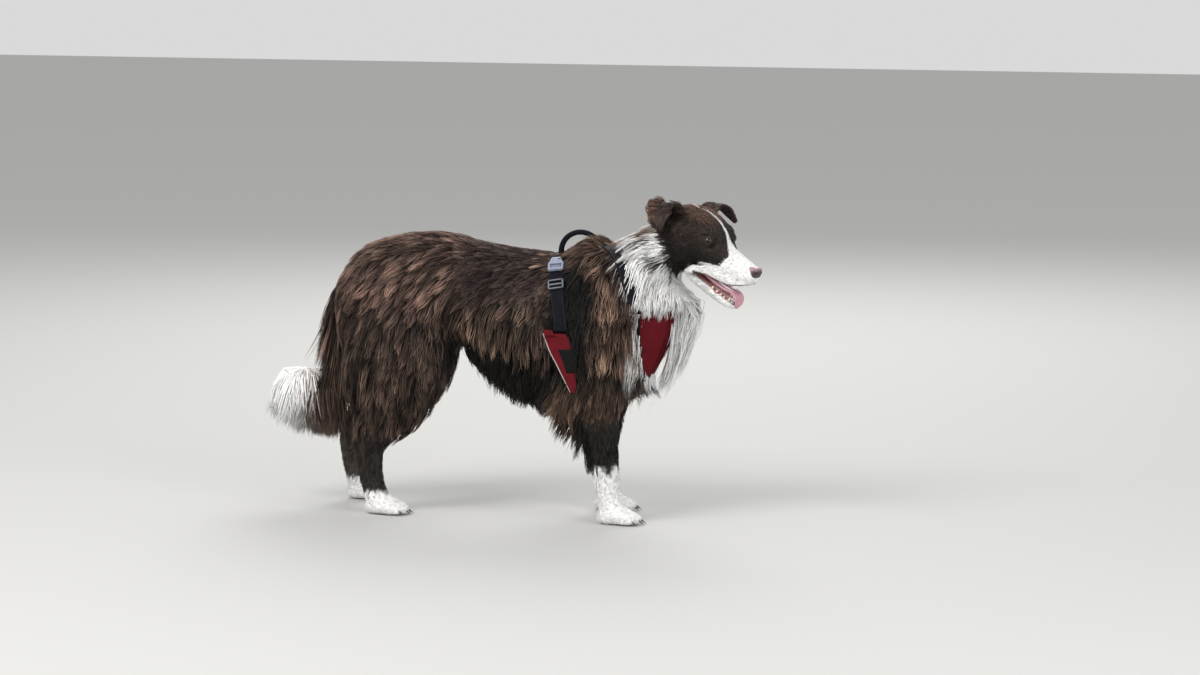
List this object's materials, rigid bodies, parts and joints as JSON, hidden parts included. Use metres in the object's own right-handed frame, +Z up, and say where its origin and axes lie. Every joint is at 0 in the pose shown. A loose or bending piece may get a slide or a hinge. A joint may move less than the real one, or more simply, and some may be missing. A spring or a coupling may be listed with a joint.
{
  "type": "dog",
  "caption": "Life-size long-haired brown and white herding dog standing with its head turned and mouth open, in a padded walking harness; a still display model.",
  "frame": {"origin": "on the floor, under the middle of the dog's bounding box", "axes": "+X towards the dog's front, +Y to its left, +Z up; the dog stands along X and its head turns to its right, towards -Y"},
  "size_m": [0.9772, 0.276, 0.6056],
  "materials": {
    "brown_coat": "long wavy dark brown hair with sun-bleached tan tips, standing in for fur",
    "white_coat": "soft white hair, standing in for fur",
    "nose_skin": "moist pebbled nose leather, liver brown to black",
    "eye": "glossy amber-brown eye",
    "tongue": "wet pink tongue",
    "black_webbing": "matt black woven webbing",
    "red_fabric": "padded dark red woven fabric",
    "buckle_plastic": "moulded grey plastic"
  },
  "bodies": {
    "root": {"chest": "white_coat", "ear_left": "brown_coat", "ear_right": "brown_coat", "eye_left": "eye", "eye_right": "eye", "foreleg_left": "white_coat", "foreleg_right": "white_coat", "forepaw_left": "white_coat", "forepaw_right": "white_coat", "harness_belly_strap": "black_webbing", "harness_buckle_left": "buckle_plastic", "harness_buckle_right": "buckle_plastic", "harness_chest_plate": "red_fabric", "harness_girth_strap": "black_webbing", "harness_handle": "black_webbing", "harness_neck_strap_left": "black_webbing", "harness_neck_strap_right": "black_webbing", "harness_side_panel_left": "red_fabric", "harness_side_panel_right": "red_fabric", "harness_slider_left": "buckle_plastic", "harness_slider_right": "buckle_plastic", "head": "brown_coat", "hindleg_left": "brown_coat", "hindleg_right": "brown_coat", "hindpaw_left": "white_coat", "hindpaw_right": "white_coat", "lower_jaw": "white_coat", "neck": "white_coat", "nose": "nose_skin", "tail": "brown_coat", "tail_tip": "white_coat", "thigh_left": "brown_coat", "thigh_right": "brown_coat", "tongue": "tongue", "trunk": "brown_coat", "upper_foreleg_left": "brown_coat", "upper_foreleg_right": "brown_coat"}
  },
  "joints": []
}
